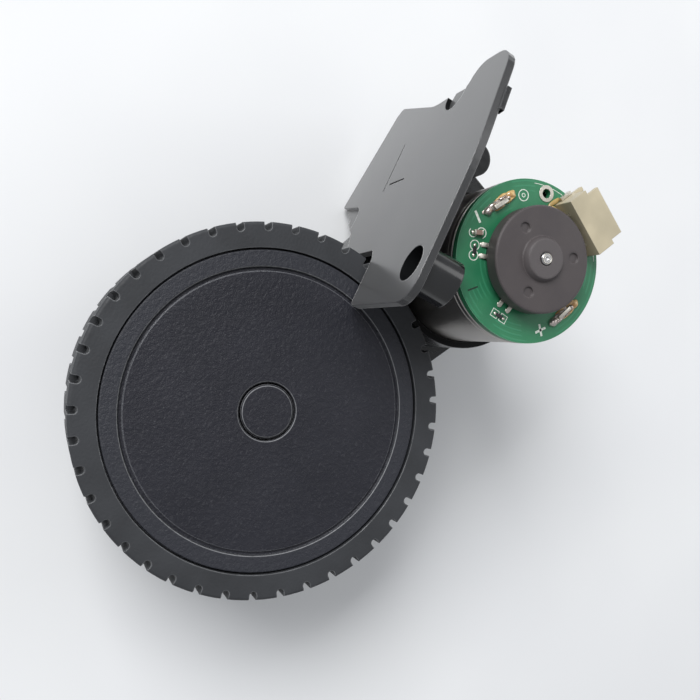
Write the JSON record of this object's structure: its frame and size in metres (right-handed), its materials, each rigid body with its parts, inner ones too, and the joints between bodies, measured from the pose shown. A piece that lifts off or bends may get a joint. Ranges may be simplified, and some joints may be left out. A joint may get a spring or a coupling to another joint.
{
  "type": "robot vacuum drive wheel module",
  "caption": "Sprung drive wheel with rubber tyre, geared DC motor with magnetic encoder, and a flange that screws into a floor robot's underside.",
  "frame": {"origin": "on the wheel axis, in the plane of the gearbox cover that the module lies on", "axes": "+X along the mounting flange from the wheel to the pivot, +Y out of the robot's underside (the flange face's normal), +Z along the wheel axis from the gearbox to the hub cap"},
  "size_m": [0.1041, 0.0734, 0.058],
  "materials": {
    "flange_black": "gloss moulded, fine swirl marks",
    "case_black": "satin moulded",
    "wheel_black": "satin, fine spark-eroded grain",
    "tyre_rubber": "matt rubber",
    "pad_rubber": "matt rubber",
    "steel": "ground",
    "spring_steel": "drawn wire",
    "clip_steel": "black oxide",
    "screw_steel": "zinc plated",
    "can_steel": "dark nickel plated",
    "bronze": "sintered bronze",
    "end_cap_plastic": "satin",
    "ferrite": "sintered ferrite",
    "carbon": "pressed carbon",
    "board_green": "solder mask",
    "tinned": "tin plated",
    "solder": "solder with dried flux",
    "connector_cream": "nylon",
    "glue_amber": "dried adhesive",
    "chip_black": "chip body",
    "chip_tan": "chip body",
    "sensor_black": "moulded package",
    "gear_white": "acetal",
    "pinion_brass": "hobbed",
    "disc_brown": "bonded ferrite",
    "core_steel": "laminated",
    "copper": "enamelled copper"
  },
  "bodies": {
    "bracket": {"flange_plate": "flange_black", "pivot_pin": "steel", "pivot_clip": "clip_steel", "suspension_spring": "spring_steel", "stop_pad": "pad_rubber"},
    "arm": {"gear_case": "case_black", "case_cover": "case_black", "case_screws": "screw_steel", "pivot_bushes": "bronze", "axle_bush_outer": "bronze", "axle_bush_inner": "bronze", "gear_pin_1": "steel", "gear_pin_2": "steel", "motor_can": "can_steel", "motor_end_cap": "end_cap_plastic", "motor_magnets": "ferrite", "motor_bushes": "bronze", "motor_brushes": "carbon", "motor_screws": "screw_steel", "encoder_board": "board_green", "motor_terminals": "tinned", "solder_joints": "solder", "connector_shell": "connector_cream", "connector_contacts": "tinned", "connector_glue": "glue_amber", "chip_resistors": "chip_black", "chip_capacitors": "chip_tan", "hall_sensors": "sensor_black", "plated_ring": "tinned"},
    "wheel": {"tyre": "tyre_rubber", "wheel_rim": "wheel_black", "hub_cap": "wheel_black", "centre_plug": "wheel_black", "wheel_axle": "steel", "output_gear": "gear_white", "wheel_screw": "screw_steel"},
    "first_gear": {"first_gear": "gear_white"},
    "second_gear": {"second_gear": "gear_white"},
    "rotor": {"motor_shaft": "steel", "motor_pinion": "pinion_brass", "encoder_disc": "disc_brown", "armature_core": "core_steel", "armature_windings": "copper", "commutator": "copper"}
  },
  "joints": [
    {"name": "suspension_swing", "type": "hinge", "parent": "bracket", "child": "arm", "pos_m": [0.05691, -0.0128, 0.023], "axis": [0, 0, 1], "range_deg": [0, 25], "stiffness_Nm_per_rad": 0.25, "springref_deg": -34.38, "deforming": ["suspension_spring"]},
    {"name": "wheel_spin", "type": "hinge", "parent": "arm", "child": "wheel", "pos_m": [0, 0, 0.024], "axis": [0, 0, 1], "continuous": true},
    {"name": "second_gear_turn", "type": "hinge", "parent": "arm", "child": "second_gear", "pos_m": [0.01681, -0.00748, 0.006], "axis": [0, 0, 1], "continuous": true},
    {"name": "first_gear_turn", "type": "hinge", "parent": "arm", "child": "first_gear", "pos_m": [0.02814, -0.0182, 0.009], "axis": [0, 0, 1], "continuous": true},
    {"name": "motor_turn", "type": "hinge", "parent": "arm", "child": "rotor", "pos_m": [0.04146, -0.02511, 0.03], "axis": [0, 0, 1], "continuous": true}
  ],
  "couplings": [
    {"joint": "second_gear_turn", "follows": "wheel_spin", "ratio": -2.8333},
    {"joint": "first_gear_turn", "follows": "wheel_spin", "ratio": 9.4444},
    {"joint": "motor_turn", "follows": "wheel_spin", "ratio": -37.778}
  ]
}
